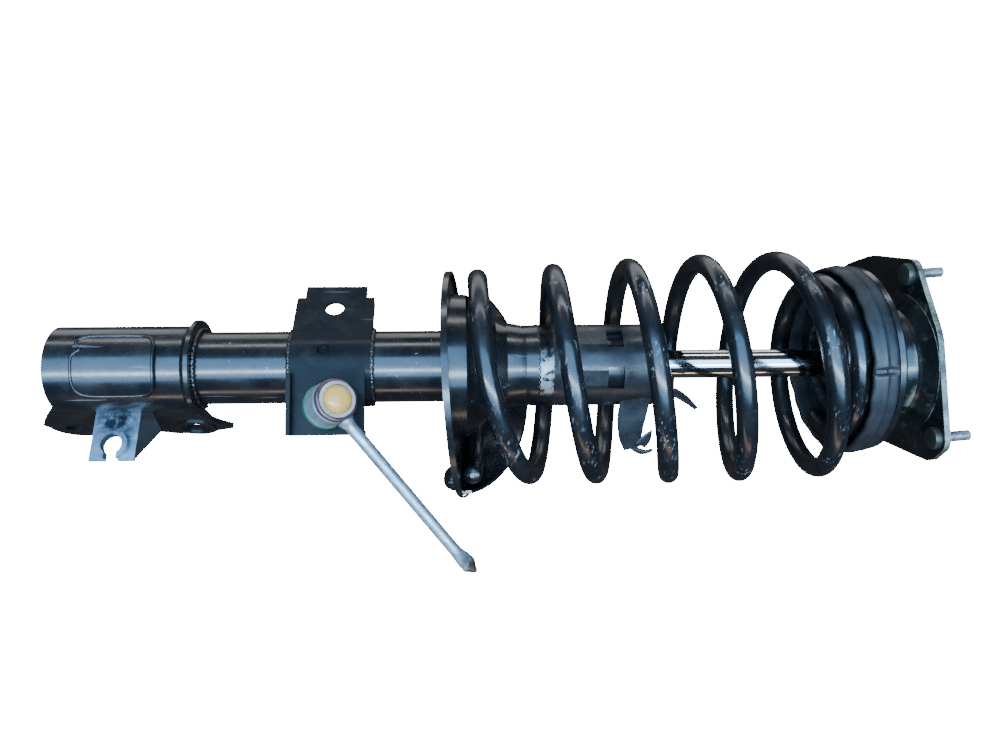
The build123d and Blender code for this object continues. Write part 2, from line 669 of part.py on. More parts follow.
def sub_parts():
    """Every sub-part by node name."""
    inner_race = tilt(bearing_inner_race(), MOUNT_TILT, 0)
    seat = tilt(upper_spring_seat(), MOUNT_TILT, 0)
    parts = {
        "mount_plate": tilt(mount_plate(), MOUNT_TILT, 0),
        "mount_rubber": tilt(mount_rubber(), MOUNT_TILT, 0),
        "mount_core": tilt(mount_core(), MOUNT_TILT, 0),
        "bearing_outer_race": tilt(bearing_outer_race(), MOUNT_TILT, 0),
        "bearing_balls": tilt(bearing_balls(), MOUNT_TILT, 0),
        "bearing_inner_race": inner_race,
        "upper_spring_seat": seat,
        "upper_insulator": tilt(upper_insulator(), MOUNT_TILT, 0),
        "rod_spacer": rod_spacer(inner_race),
        "seat_retainer": seat_retainer(seat),
        "rod_washer": rod_washer(),
        "rod_nut": rod_nut(),
        "piston_rod": piston_rod(),
        "bump_stop_cup": bump_stop_cup(),
        "bump_stop": bump_stop(),
        "piston": piston(),
        "piston_ring": piston_ring(),
        "piston_nut": piston_nut(),
        "rebound_stop": rebound_stop(),
        "coil_spring": coil_spring(),
        "strut_tube": strut_tube(),
        "base_cup": base_cup(),
        "inner_tube": inner_tube(),
        "base_valve": base_valve(),
        "rod_guide": rod_guide(),
        "guide_bush": guide_bush(),
        "rod_seal": rod_seal(),
        "tube_cap": tube_cap(),
        "hub_ring": hub_ring(),
        "dust_cover": dust_cover(),
        "lower_spring_seat": lower_spring_seat(),
        "knuckle_bracket": knuckle_bracket(),
        "hose_bracket": hose_bracket(),
        "hose_gusset": hose_gusset(),
        "link_bracket": link_bracket(),
        "link_ball_stud": link_ball_stud(),
        "link_nut": link_nut(),
        "link_boot": link_boot(),
        "link_socket": link_socket(),
        "link_housing": link_housing(),
        "link_cap_ring": link_cap_ring(),
        "link_cap": link_cap(),
        "boot_ring": boot_ring(),
        "link_rod": link_rod(),
    }
    for index, angle in enumerate(stud_angles(), start=1):
        parts[f"mount_stud_{index}"] = tilt(mount_stud(angle), MOUNT_TILT, 0)
    return parts


os.makedirs("parts", exist_ok=True)
for name, shape in sub_parts().items():
    export_step(shape, f"parts/{name}.step")
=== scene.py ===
import json
import math

import bpy
from mathutils import Matrix, Vector

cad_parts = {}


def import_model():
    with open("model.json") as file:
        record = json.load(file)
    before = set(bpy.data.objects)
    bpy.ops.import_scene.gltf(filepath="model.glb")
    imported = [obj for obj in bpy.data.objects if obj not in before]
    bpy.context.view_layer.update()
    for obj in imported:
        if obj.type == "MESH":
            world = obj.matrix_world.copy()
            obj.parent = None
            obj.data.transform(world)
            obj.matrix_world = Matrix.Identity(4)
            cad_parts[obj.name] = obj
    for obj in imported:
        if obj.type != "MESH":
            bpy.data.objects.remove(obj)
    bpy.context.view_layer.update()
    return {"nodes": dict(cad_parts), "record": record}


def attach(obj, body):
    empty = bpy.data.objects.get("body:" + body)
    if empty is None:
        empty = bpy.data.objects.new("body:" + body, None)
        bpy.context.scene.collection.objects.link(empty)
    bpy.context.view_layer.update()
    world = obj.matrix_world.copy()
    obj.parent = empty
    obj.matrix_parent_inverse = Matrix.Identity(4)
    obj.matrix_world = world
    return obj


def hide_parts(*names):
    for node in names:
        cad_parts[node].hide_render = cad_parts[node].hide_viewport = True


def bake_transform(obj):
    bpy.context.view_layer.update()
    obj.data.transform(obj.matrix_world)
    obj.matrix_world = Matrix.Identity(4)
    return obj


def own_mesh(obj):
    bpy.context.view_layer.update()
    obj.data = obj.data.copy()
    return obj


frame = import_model()

MM = 0.001

# Directions round the damper axis, in degrees from +X, as in the frame.
LINK_SIDE = 202.0
FENDER_SIDE = 292.0
ENGINE_SIDE = 112.0

# Camera: beside the strut, level, with the strut lying along the picture.
CAMERA_DISTANCE = 594.4 * MM
CAMERA_HEIGHT = -348.6 * MM
CAMERA_SIDESTEP = 7.2 * MM
CAMERA_YAW = 3.14
CAMERA_ROLL = 0.56
CAMERA_LENS = 28.08

# Studio, in metres: name, angle round the strut, distance, length and width, power and colour.
STRUT_MIDDLE = Vector((0, 0, -0.33))
LIGHTS = [
    ("sky_wide", 204, 1.6, (2.8, 1.9), 128, (0.26, 0.56, 1.0)),
    ("sky_core", 215, 1.5, (2.8, 0.2), 48, (0.66, 0.85, 1.0)),
    ("low_warm", 284, 1.5, (1.8, 0.22), 4, (1.0, 0.74, 0.55)),
    ("engine_rim", 128, 1.5, (2.2, 0.22), 9, (0.95, 0.98, 1.0)),
    ("back_fill", 85, 1.3, (2.4, 0.6), 7, (0.92, 0.96, 1.0)),
]
BACKDROP_GLOW = 25.0
BACKDROP_AWAY = 1.5
BACKDROP_HALF = 4.0
ROOM_GLOW = 0.06

# Coil spring: turns, centre-line radius, height, and how far the outboard side stands above it.
WIRE_R = 7.55
SPRING_STATIONS = [
    (0.00, 74.0, -337.6, 0.0),
    (0.14, 74.0, -333.4, 0.8),
    (0.70, 74.0, -327.0, 4.4),
    (1.00, 75.5, -294.0, 8.0),
    (1.40, 76.0, -278.0, 13.0),
    (2.40, 78.5, -221.5, 12.3),
    (3.40, 80.0, -167.5, 9.7),
    (4.40, 80.5, -111.5, 7.3),
    (5.00, 79.5, -73.5, 5.0),
    (5.35, 67.0, -73.0, 4.0),
    (5.80, 56.0, -58.5, 3.6),
    (6.10, 55.5, -57.6, 3.6),
]
# Shift of the coil's centre towards the fender side at its lower and upper end.
SPRING_OFFSET_LOW = 9.0
SPRING_OFFSET_HIGH = -0.5
SPRING_LEAN_SIDE = 10.0
# Rounding of the wire's lower end: reach past the last point and share of the wire's radius.
WIRE_END = [(0.46, 0.25), (0.36, 0.68), (0.19, 0.92)]
SPRING_STEPS_PER_TURN = 60
SPRING_SIDES = 20

# Lean of the top mount, fender side up, and how far the insulator sits off the axis.
MOUNT_TILT = 4.0
INSULATOR_SHIFT = 6.0
# Height above which the mount plate's cut edge lies.
PLATE_EDGE_LOW = -11.0

# Mount studs: circle, thread and the heights between which it runs.
STUD_CIRCLE_R = 71.0
STUD_ANGLES = (14.0, 134.0, 254.0)
STUD_PITCH = 1.25
STUD_THREAD_R = 3.95
STUD_THREAD_DEPTH = 0.62
STUD_THREAD_START = 1.0
STUD_THREAD_END = 19.8
STUD_THREAD_STEP = 0.2

# Pressed window in the knuckle bracket: middle, half sizes and the notch on its lower edge.
WINDOW_R = 33.6
WINDOW_Z = -591.0
WINDOW_SIDE = LINK_SIDE - 4
WINDOW_HALF_TURN = 40.0
WINDOW_HALF_HEIGHT = 28.0
WINDOW_EDGE_R = 1.1
WINDOW_STEPS = 240
NOTCH_PLACE = 12.0
NOTCH_WIDTH = 3.2
NOTCH_DEPTH = 5.0

# Weld beads: name, start and end angle, height, radius of the bead's circle, radius of the bead.
WELDS = [
    ("weld_link_low", 125, 262, -469.6, 28.0, 1.7),
    ("weld_link_high", 125, 262, -410.4, 28.0, 1.7),
    ("weld_knuckle", 60, 300, -537.0, 28.6, 1.6),
    ("weld_hub", 0, 360, -288.4, 30.6, 0.7),
]

# Stabiliser link: swivel of the housing on its stud, then the rod: radius, start, where its round
# part ends, and end.
LINK_SWIVEL = 31.0
ROD_R = 4.4
ROD_START = 14.6
ROD_ROUND_END = 136.0
ROD_END = 160.0
ROD_STEPS = 70
# Way of the rod: shares towards the fender side, up the strut and away from the link side.
ROD_TO_FENDER = 0.73
ROD_RISE = 0.46
ROD_INWARDS = 0.27


# ---- Small geometry helpers ------------------------------------------------------------------------

def direction(degrees):
    """Unit vector square to the strut at an angle from +X."""
    return Vector((math.cos(math.radians(degrees)), math.sin(math.radians(degrees)), 0))


def clamp(value, low, high):
    return max(low, min(high, value))


def smooth(value, low, high):
    """0 below low, 1 above high, and smooth between."""
    share = clamp((value - low) / (high - low), 0, 1)
    return share * share * (3 - 2 * share)


def angle_gap(first, second):
    """Signed angle in degrees from second to first, between -180 and 180."""
    return (first - second + 180) % 360 - 180


def lean(height, degrees):
    """Matrix that leans a shape towards the engine side about a point on the damper axis, in mm."""
    pivot = Vector((0, 0, height))
    turn = Matrix.Rotation(math.radians(degrees), 4, direction(LINK_SIDE))
    return Matrix.Translation(pivot) @ turn @ Matrix.Translation(-pivot)


def make(name, points, faces, material, body, placed=None, sharp=35):
    """Mesh object from points in mm, riding on a CAD body."""
    place = placed or Matrix.Identity(4)
    mesh = bpy.data.meshes.new(name)
    mesh.from_pydata([(place @ Vector(p)) * MM for p in points], [], faces)
    mesh.validate()
    mesh.update()
    mesh.shade_smooth()
    mesh.set_sharp_from_angle(angle=math.radians(sharp))
    piece = bpy.data.objects.new(name, mesh)
    bpy.context.scene.collection.objects.link(piece)
    mesh.materials.append(material)
    if body:
        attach(piece, body)
    return piece


def grid_faces(rows, columns, close_rows=False):
    """Quads of a grid whose points run column by column round each row."""
    faces = []
    for row in range(rows if close_rows else rows - 1):
        following = (row + 1) % rows
        for column in range(columns):
            right = (column + 1) % columns
            faces.append((row * columns + column, row * columns + right,
                          following * columns + right, following * columns + column))
    return faces


def lathe(profile, segments, ripple=None):
    """Solid of revolution from a closed (radius, height) profile.

    ripple(angle, radius, height) may move its points.
    """
    points = []
    for radius, height in profile:
        for step in range(segments):
            angle = 360 * step / segments
            r, z = (radius, height) if ripple is None else ripple(angle, radius, height)
            flat = direction(angle) * r
            points.append((flat.x, flat.y, z))
    return points, [tuple(reversed(f)) for f in grid_faces(len(profile), segments, close_rows=True)]


def tube(path, radius_at, sides, across=None):
    """Closed tube along a path.

    radius_at(index, share) gives the half width and half height of its section.
    """
    points = []
    normal = (across or Vector((0, 0, 1))).normalized()
    for index, place in enumerate(path):
        before = path[max(index - 1, 0)]
        after = path[min(index + 1, len(path) - 1)]
        along = (after - before).normalized()
        normal = (normal - along * normal.dot(along)).normalized()
        side = along.cross(normal)
        wide, high = radius_at(index, index / (len(path) - 1))
        for step in range(sides):
            turn = 2 * math.pi * step / sides
            point = place + side * (wide * math.cos(turn)) + normal * (high * math.sin(turn))
            points.append(tuple(point))
    faces = grid_faces(len(path), sides)
    faces.append(tuple(range(sides)))
    faces.append(tuple(reversed(range(len(points) - sides, len(points)))))
    return points, faces


def spline(controls, steps):
    """Smooth path through control points (Catmull-Rom)."""
    ends = [controls[0] * 2 - controls[1]] + controls + [controls[-1] * 2 - controls[-2]]
    path = []
    for a, b, c, d in zip(ends, ends[1:], ends[2:], ends[3:]):
        for step in range(steps):
            t = step / steps
            path.append(0.5 * (2 * b + (c - a) * t
                               + (2 * a - 5 * b + 4 * c - d) * t * t
                               + (3 * b - a - 3 * c + d) * t ** 3))
    path.append(controls[-1])
    return path


# ---- Stabiliser link placement, from the joints ---------------------------------------------------

LINK_JOINTS = {joint["name"]: joint for joint in frame["record"]["behaviour"]["joints"]}
BALL = Vector(LINK_JOINTS["link_swing"]["pos_m"]) / MM
STUD_AXIS = Vector(LINK_JOINTS["link_swing"]["axis"])
TILT_AXIS = Vector(LINK_JOINTS["link_tilt"]["axis"])
HOUSING_AXIS = Matrix.Rotation(math.radians(LINK_SWIVEL), 3, TILT_AXIS) @ STUD_AXIS


def link_rod_direction():
    """Way of the rod, square to the housing's axis."""
    flat = direction(FENDER_SIDE) * ROD_TO_FENDER - direction(LINK_SIDE) * ROD_INWARDS
    wish = flat + Vector((0, 0, ROD_RISE))
    return (wish - HOUSING_AXIS * wish.dot(HOUSING_AXIS)).normalized()


ROD_WAY = link_rod_direction()
HOUSING_TURN = Matrix((ROD_WAY, HOUSING_AXIS.cross(ROD_WAY), HOUSING_AXIS)).transposed()
HOUSING = Matrix.Translation(BALL) @ HOUSING_TURN.to_4x4()


# ---- Materials -------------------------------------------------------------------------------------

class Finish:
    """Node material with a Principled surface and object coordinates in metres."""

    def __init__(self, name, roughness=0.4, metallic=0.0, coat=0.0, specular=0.5):
        self.material = bpy.data.materials.new(name)
        self.material.use_nodes = True
        self.tree = self.material.node_tree
        self.surface = self.tree.nodes["Principled BSDF"]
        self.surface.inputs["Roughness"].default_value = roughness
        self.surface.inputs["Metallic"].default_value = metallic
        self.surface.inputs["Coat Weight"].default_value = coat
        self.surface.inputs["Coat Roughness"].default_value = 0.12
        self.surface.inputs["Specular IOR Level"].default_value = specular
        self.place = self.tree.nodes.new("ShaderNodeTexCoord").outputs["Object"]

    def link(self, source, target):
        self.tree.links.new(source, target)

    def noise(self, scale, detail=4.0, roughness=0.55, stretch=None):
        node = self.tree.nodes.new("ShaderNodeTexNoise")
        node.inputs["Scale"].default_value = scale
        node.inputs["Detail"].default_value = detail
        node.inputs["Roughness"].default_value = roughness
        source = self.place
        if stretch:
            mapping = self.tree.nodes.new("ShaderNodeMapping")
            mapping.inputs["Scale"].default_value = stretch
            mapping.inputs["Rotation"].default_value = (0.3, 0.2, 0.5)
            self.link(source, mapping.inputs["Vector"])
            source = mapping.outputs["Vector"]
        self.link(source, node.inputs["Vector"])
        return node.outputs["Fac"]

    def ramp(self, source, stops):
        """Colour ramp; stops are (position, value or colour)."""
        node = self.tree.nodes.new("ShaderNodeValToRGB")
        elements = node.color_ramp.elements
        while len(elements) < len(stops):
            elements.new(0.5)
        for element, (position, value) in zip(elements, stops):
            element.position = position
            element.color = (*value, 1) if isinstance(value, tuple) else (value, value, value, 1)
        self.link(source, node.inputs["Fac"])
        return node.outputs["Color"]

    def rise(self, source, low, high, top=1.0):
        """0 below low, growing to top at high."""
        return self.ramp(source, [(low, 0.0), (high, top)])

    def times(self, first, second):
        node = self.tree.nodes.new("ShaderNodeMath")
        node.operation = "MULTIPLY"
        self.link(first, node.inputs[0])
        self.link(second, node.inputs[1])
        return node.outputs[0]

    def mix(self, share, first, second):
        node = self.tree.nodes.new("ShaderNodeMix")
        node.data_type = "RGBA"
        self.link(share, node.inputs["Factor"])
        for value, socket in ((first, node.inputs["A"]), (second, node.inputs["B"])):
            if isinstance(value, tuple):
                socket.default_value = (*value, 1)
            else:
                self.link(value, socket)
        return node.outputs["Result"]

    def attribute(self, name):
        """Share painted on the mesh's points."""
        node = self.tree.nodes.new("ShaderNodeAttribute")
        node.attribute_name = name
        return node.outputs["Fac"]

    def near(self, centre, radius):
        """1 at a point given in mm, falling to 0 at a radius in mm."""
        shift = self.tree.nodes.new("ShaderNodeVectorMath")
        shift.operation = "DISTANCE"
        self.link(self.place, shift.inputs[0])
        shift.inputs[1].default_value = [c * MM for c in centre]
        return self.ramp_range(shift.outputs["Value"], radius * MM, 0)

    def ramp_range(self, source, low, high):
        """0 at low, 1 at high, straight between."""
        node = self.tree.nodes.new("ShaderNodeMapRange")
        node.inputs["From Min"].default_value = low
        node.inputs["From Max"].default_value = high
        self.link(source, node.inputs["Value"])
        return node.outputs["Result"]

    def side(self):
        """1 on faces that stand along the strut, such as a plate's cut edge, 0 on flat ones."""
        normal = self.tree.nodes.new("ShaderNodeNewGeometry").outputs["True Normal"]
        parts = self.tree.nodes.new("ShaderNodeSeparateXYZ")
        self.link(normal, parts.inputs["Vector"])
        flat = self.tree.nodes.new("ShaderNodeMath")
        flat.operation = "ABSOLUTE"
        self.link(parts.outputs["Z"], flat.inputs[0])
        return self.ramp_range(flat.outputs[0], 0.22, 0.10)

    def above(self, height):
        """1 above a height in mm, 0 from 4 mm below it."""
        parts = self.tree.nodes.new("ShaderNodeSeparateXYZ")
        self.link(self.place, parts.inputs["Vector"])
        return self.ramp_range(parts.outputs["Z"], (height - 4) * MM, height * MM)

    def colour(self, source):
        self.link(source, self.surface.inputs["Base Color"])

    def rough(self, source):
        self.link(source, self.surface.inputs["Roughness"])

    def bump(self, source, strength, distance):
        node = self.tree.nodes.new("ShaderNodeBump")
        node.inputs["Strength"].default_value = strength
        node.inputs["Distance"].default_value = distance * MM
        self.link(source, node.inputs["Height"])
        self.link(node.outputs["Normal"], self.surface.inputs["Normal"])


def worn_paint(name, base=(0.004, 0.005, 0.007), dust=0.35, chips=0.68, rough=(0.14, 0.36), gloss=1.0):
    """Old black paint: mottled film, thin dust, hair scratches, small chips down to grey primer."""
    f = Finish(name, coat=0.35 * gloss, specular=0.55 * gloss)
    mottled = f.mix(f.rise(f.noise(28, 6), 0.35, 0.75), base, (0.012, 0.011, 0.011))
    film = f.times(f.rise(f.noise(60, 8, 0.7), 0.45, 0.80, dust), f.rise(f.noise(9, 3), 0.35, 0.7))
    dusty = f.mix(film, mottled, (0.075, 0.066, 0.055))
    hair = f.times(f.rise(f.noise(220, 3, 0.5, (1, 1, 0.06)), 0.66, 0.72, 0.8),
                   f.rise(f.noise(14, 2), 0.5, 0.65))
    scratched = f.mix(hair, dusty, (0.20, 0.21, 0.22))
    spots = f.times(f.rise(f.noise(300, 4, 0.6), chips, chips + 0.05),
                    f.rise(f.noise(22, 3), 0.5, 0.62))
    f.colour(f.mix(spots, scratched, (0.26, 0.25, 0.23)))
    f.rough(f.ramp(f.noise(40, 6), [(0.3, rough[0]), (0.75, rough[1])]))
    f.bump(f.noise(140, 5), 0.12, 0.4)
    return f.material


def spring_coat():
    """Black epoxy on spring wire, rubbed pale and scratched on the outer crest."""
    f = Finish("spring_coat", coat=0.3, specular=0.5)
    base = f.mix(f.rise(f.noise(45, 5), 0.35, 0.75), (0.004, 0.005, 0.007), (0.014, 0.013, 0.013))
    streak = f.rise(f.noise(520, 5, 0.62, (0.35, 0.35, 1.0)), 0.57, 0.66)
    patch = f.rise(f.noise(34, 4), 0.48, 0.62)
    scuff = f.times(f.times(streak, patch), f.attribute("crest"))
    f.colour(f.mix(scuff, base, (0.20, 0.20, 0.205)))
    f.rough(f.ramp(f.noise(50, 6), [(0.3, 0.18), (0.75, 0.42)]))
    f.bump(f.noise(160, 5), 0.16, 0.4)
    return f.material


def aged_rubber(name, base=(0.010, 0.011, 0.013), pale=(0.040, 0.042, 0.046)):
    """Dull black rubber with a pale bloom in places."""
    f = Finish(name, roughness=0.55, specular=0.45)
    bloom = f.times(f.rise(f.noise(35, 7, 0.65), 0.42, 0.8, 0.7),
                    f.ramp(f.noise(8, 2), [(0.3, 0.2), (0.7, 1.0)]))
    f.colour(f.mix(bloom, base, pale))
    f.rough(f.ramp(f.noise(70, 5), [(0.3, 0.38), (0.8, 0.72)]))
    f.bump(f.noise(420, 6), 0.25, 0.35)
    return f.material


def plastic(name, base, second, rough=(0.22, 0.5)):
    """Moulded plastic, cloudy between two colours."""
    f = Finish(name, specular=0.5)
    f.colour(f.mix(f.rise(f.noise(55, 6), 0.4, 0.75), base, second))
    f.rough(f.ramp(f.noise(80, 4), [(0.3, rough[0]), (0.8, rough[1])]))
    f.bump(f.noise(300, 4), 0.1, 0.2)
    return f.material


def zinc(name, base, dark, patch=None, rim=None):
    """Dull zinc plate: cloudy, finely scratched, with a coloured patch where asked for: rust on the
    link rod, painted shade on the hose bracket.
    """
    f = Finish(name, metallic=0.75, specular=0.5)
    cloudy = f.mix(f.rise(f.noise(90, 7, 0.65), 0.35, 0.72), base, dark)
    hair = f.rise(f.noise(420, 3, 0.5, (1, 1, 0.1)), 0.62, 0.7, 0.7)
    result = f.mix(hair, cloudy, (0.55, 0.58, 0.6))
    if patch:
        # The patch's colour is real rust on the link rod and painted shade on the hose bracket's upper
        # part.
        centre, radius, rust_and_shade_colour = patch
        broken = f.ramp(f.noise(200, 6, 0.7), [(0.3, 0.3), (0.6, 1.6)])
        share = f.times(f.near(centre, radius), broken)
        result = f.mix(share, result, rust_and_shade_colour)
    if rim:
        result = f.mix(f.attribute("rim"), result, rim)
    f.colour(result)
    f.rough(f.ramp(f.noise(120, 6), [(0.3, 0.32), (0.75, 0.58)]))
    f.bump(f.noise(350, 5), 0.2, 0.25)
    return f.material


def chromed():
    """Ground and chromed rod with fine marks along it."""
    f = Finish("chromed_rod", metallic=1.0)
    f.colour(f.mix(f.rise(f.noise(30, 4), 0.4, 0.8), (0.72, 0.74, 0.76), (0.55, 0.56, 0.57)))
    f.rough(f.ramp(f.noise(160, 4, 0.5, (1, 1, 0.2)), [(0.35, 0.06), (0.75, 0.2)]))
    f.bump(f.noise(500, 3, 0.5, (1, 1, 0.08)), 0.03, 0.1)
    return f.material


def machined(name, base):
    """Turned bare steel, darker in patches."""
    f = Finish(name, metallic=1.0)
    f.colour(f.mix(f.rise(f.noise(70, 6), 0.35, 0.75), base, tuple(c * 0.45 for c in base)))
    f.rough(f.ramp(f.noise(200, 4), [(0.3, 0.22), (0.75, 0.5)]))
    f.bump(f.noise(420, 4), 0.12, 0.2)
    return f.material


def plate_paint():
    """Gloss black paint of the mount plate, dusty, worn to greenish grey along the plate's cut edge."""
    f = Finish("mount_plate_paint", coat=0.4, specular=0.55)
    base = f.mix(f.rise(f.noise(30, 6), 0.4, 0.7), (0.005, 0.006, 0.007), (0.016, 0.015, 0.013))
    dust = f.times(f.rise(f.noise(90, 8, 0.7), 0.55, 0.72, 0.6), f.rise(f.noise(14, 3), 0.46, 0.62))
    dusty = f.mix(dust, base, (0.16, 0.16, 0.12))
    edge = f.times(f.side(), f.above(PLATE_EDGE_LOW))
    worn = f.times(edge, f.rise(f.noise(48, 7, 0.7), 0.42, 0.60, 0.8))
    f.colour(f.mix(worn, dusty, (0.26, 0.28, 0.21)))
    f.rough(f.ramp(f.noise(60, 6), [(0.3, 0.15), (0.75, 0.42)]))
    f.bump(f.noise(180, 5), 0.15, 0.4)
    return f.material


def scuffed_band():
    """Black band on the tube, rubbed to bare metal in a patch towards the link side."""
    f = Finish("scuffed_band", metallic=0.4, coat=0.2)
    spot = f.near(tuple(direction(LINK_SIDE + 12) * 31 + Vector((0, 0, -283))), 20)
    bare = f.times(spot, f.rise(f.noise(150, 6, 0.7), 0.40, 0.52, 1.8))
    black = f.mix(f.rise(f.noise(60, 5), 0.4, 0.7), (0.006, 0.007, 0.008), (0.020, 0.019, 0.018))
    f.colour(f.mix(bare, black, (0.42, 0.43, 0.44)))
    f.rough(f.ramp(f.noise(120, 5), [(0.3, 0.2), (0.75, 0.45)]))
    f.bump(f.noise(260, 4), 0.15, 0.3)
    return f.material


ROD_RUST = (tuple(BALL + ROD_WAY * 156), 15, (0.10, 0.050, 0.028))
# Painted shade: a dark navy patch on the hose bracket's upper part next to the tube, darkening its bent
# face as if shaded.
HOSE_PAINTED_SHADE = ((20, -35, -603), 24, (0.010, 0.015, 0.022))
PAINT = worn_paint("tube_paint")
BRACKET_PAINT = worn_paint("bracket_paint", dust=0.5, chips=0.69, rough=(0.16, 0.40))
EAR_PAINT = worn_paint("ear_paint", dust=0.3, chips=0.70, rough=(0.26, 0.52), gloss=0.18)
GUSSET_PAINT = worn_paint("gusset_paint", (0.012, 0.008, 0.006), 0.3, 0.70, (0.45, 0.7), 0.25)
SEAT_PAINT = worn_paint("seat_paint", dust=0.3, chips=0.69, rough=(0.16, 0.38))
POCKET_PAINT = worn_paint("pocket_paint", dust=0.3, chips=0.69, rough=(0.2, 0.4), gloss=0.3)
PLATE = plate_paint()
SPRING = spring_coat()
RUBBER = aged_rubber("insulator_rubber")
SOFT_RUBBER = aged_rubber("boot_rubber", (0.012, 0.012, 0.012), (0.04, 0.04, 0.038))
FOAM = aged_rubber("bump_foam", (0.02, 0.019, 0.018), (0.06, 0.055, 0.05))
SLEEVE = plastic("sleeve_plastic", (0.010, 0.011, 0.013), (0.028, 0.027, 0.027))
GREEN = plastic("green_ring", (0.020, 0.105, 0.065), (0.035, 0.13, 0.10), (0.35, 0.6))
CREAM = plastic("cream_ring", (0.40, 0.34, 0.29), (0.20, 0.14, 0.11), (0.35, 0.6))
YELLOW = plastic("yellow_cap", (0.74, 0.39, 0.085), (0.50, 0.24, 0.05), (0.1, 0.3))
# Its patch is painted shade on the hose bracket's upper part.
ZINC = zinc("zinc_plate", (0.30, 0.40, 0.50), (0.14, 0.19, 0.24), HOSE_PAINTED_SHADE)
ROD_ZINC = zinc("link_rod_zinc", (0.42, 0.52, 0.58), (0.22, 0.28, 0.32), ROD_RUST)
HOUSING_ZINC = zinc("housing_zinc", (0.52, 0.58, 0.64), (0.34, 0.39, 0.44), rim=(0.14, 0.085, 0.095))
STUD_ZINC = zinc("stud_zinc", (0.34, 0.36, 0.36), (0.16, 0.16, 0.15), rim=(0.06, 0.065, 0.055))
CHROME = chromed()
STEEL = machined("machined_steel", (0.42, 0.42, 0.42))
SCUFFED = scuffed_band()

NODE_MATERIALS = {
    "mount_plate": PLATE,
    "mount_stud_1": STUD_ZINC,
    "mount_stud_2": STUD_ZINC,
    "mount_stud_3": STUD_ZINC,
    "mount_rubber": RUBBER,
    "upper_spring_seat": SEAT_PAINT,
    "upper_insulator": RUBBER,
    "bump_stop_cup": SEAT_PAINT,
    "bump_stop": FOAM,
    "piston_rod": CHROME,
    "strut_tube": PAINT,
    "tube_cap": PAINT,
    "hub_ring": SCUFFED,
    "dust_cover": SLEEVE,
    "lower_spring_seat": SEAT_PAINT,
    "knuckle_bracket": BRACKET_PAINT,
    "hose_bracket": ZINC,
    "hose_gusset": GUSSET_PAINT,
    "link_bracket": EAR_PAINT,
    "link_ball_stud": ZINC,
    "link_nut": ZINC,
    "link_boot": SOFT_RUBBER,
    "link_socket": CREAM,
    "link_housing": HOUSING_ZINC,
    "link_cap_ring": CREAM,
    "link_cap": YELLOW,
    "boot_ring": GREEN,
    "link_rod": ROD_ZINC,
    "rod_seal": SOFT_RUBBER,
    "piston_ring": CREAM,
    "coil_spring": SPRING,
}


def paint_nodes():
    """Every carried-over CAD node gets its finish; inner turned parts are machined steel."""
    for name, node in frame["nodes"].items():
        material = NODE_MATERIALS.get(name, STEEL)
        node.data.materials.clear()
        node.data.materials.append(material)


# ---- Coil spring -----------------------------------------------------------------------------------

def station(turns, column):
    """Spring station column at a number of turns, smoothly between stations."""
    rows = [SPRING_STATIONS[0]] + SPRING_STATIONS + [SPRING_STATIONS[-1]]
    for before, first, second, after in zip(rows, rows[1:], rows[2:], rows[3:]):
        if turns <= second[0]:
            gap = second[0] - first[0]
            t = (turns - first[0]) / gap
            slope_in = (second[column] - before[column]) / (second[0] - before[0]) * gap
            slope_out = (after[column] - first[column]) / (after[0] - first[0]) * gap
            start, end = first[column], second[column]
            return ((2 * t ** 3 - 3 * t * t + 1) * start + (t ** 3 - 2 * t * t + t) * slope_in
                    + (3 * t * t - 2 * t ** 3) * end + (t ** 3 - t * t) * slope_out)
    return SPRING_STATIONS[-1][column]


def spring_centre(turns):
    """Centre of the wire at a number of turns."""
    angle = FENDER_SIDE + 360 * turns
    share = turns / SPRING_STATIONS[-1][0]
    offset = SPRING_OFFSET_LOW + share * (SPRING_OFFSET_HIGH - SPRING_OFFSET_LOW)
    rise = station(turns, 3) * math.cos(math.radians(angle - SPRING_LEAN_SIDE))
    flat = direction(angle) * station(turns, 1) + direction(FENDER_SIDE) * offset
    return Vector((flat.x, flat.y, station(turns, 2) + rise))


def coil_spring():
    """Wire of the coil spring, with its outer crest marked for the rubbed paint."""
    total = SPRING_STATIONS[-1][0]
    count = round(total * SPRING_STEPS_PER_TURN)
    wire = [spring_centre(total * i / count) for i in range(count + 1)]
    outwards = (wire[0] - wire[1]).normalized()
    path = [wire[0] + outwards * (WIRE_R * reach) for reach, _ in WIRE_END] + wire

    def section(index, share):
        if index < len(WIRE_END):
            radius = WIRE_R * WIRE_END[index][1]
        else:
            radius = WIRE_R * (0.86 + 0.14 * smooth(len(path) - 1 - index, 0, 2))
        return radius, radius

    points, faces = tube(path, section, SPRING_SIDES)
    piece = make("coil_spring_wire", points, faces, SPRING, "rod")
    crest = piece.data.attributes.new("crest", "FLOAT", "POINT")
    for index in range(len(points)):
        centre = path[index // SPRING_SIDES]
        outward = Vector(points[index]) - centre
        away = Vector((centre.x, centre.y, 0)).normalized()
        crest.data[index].value = smooth(outward.dot(away) / WIRE_R, 0.1, 0.75)
    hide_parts("coil_spring")
    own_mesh(piece)


# ---- Upper insulator and bump stop -----------------------------------------------------------------

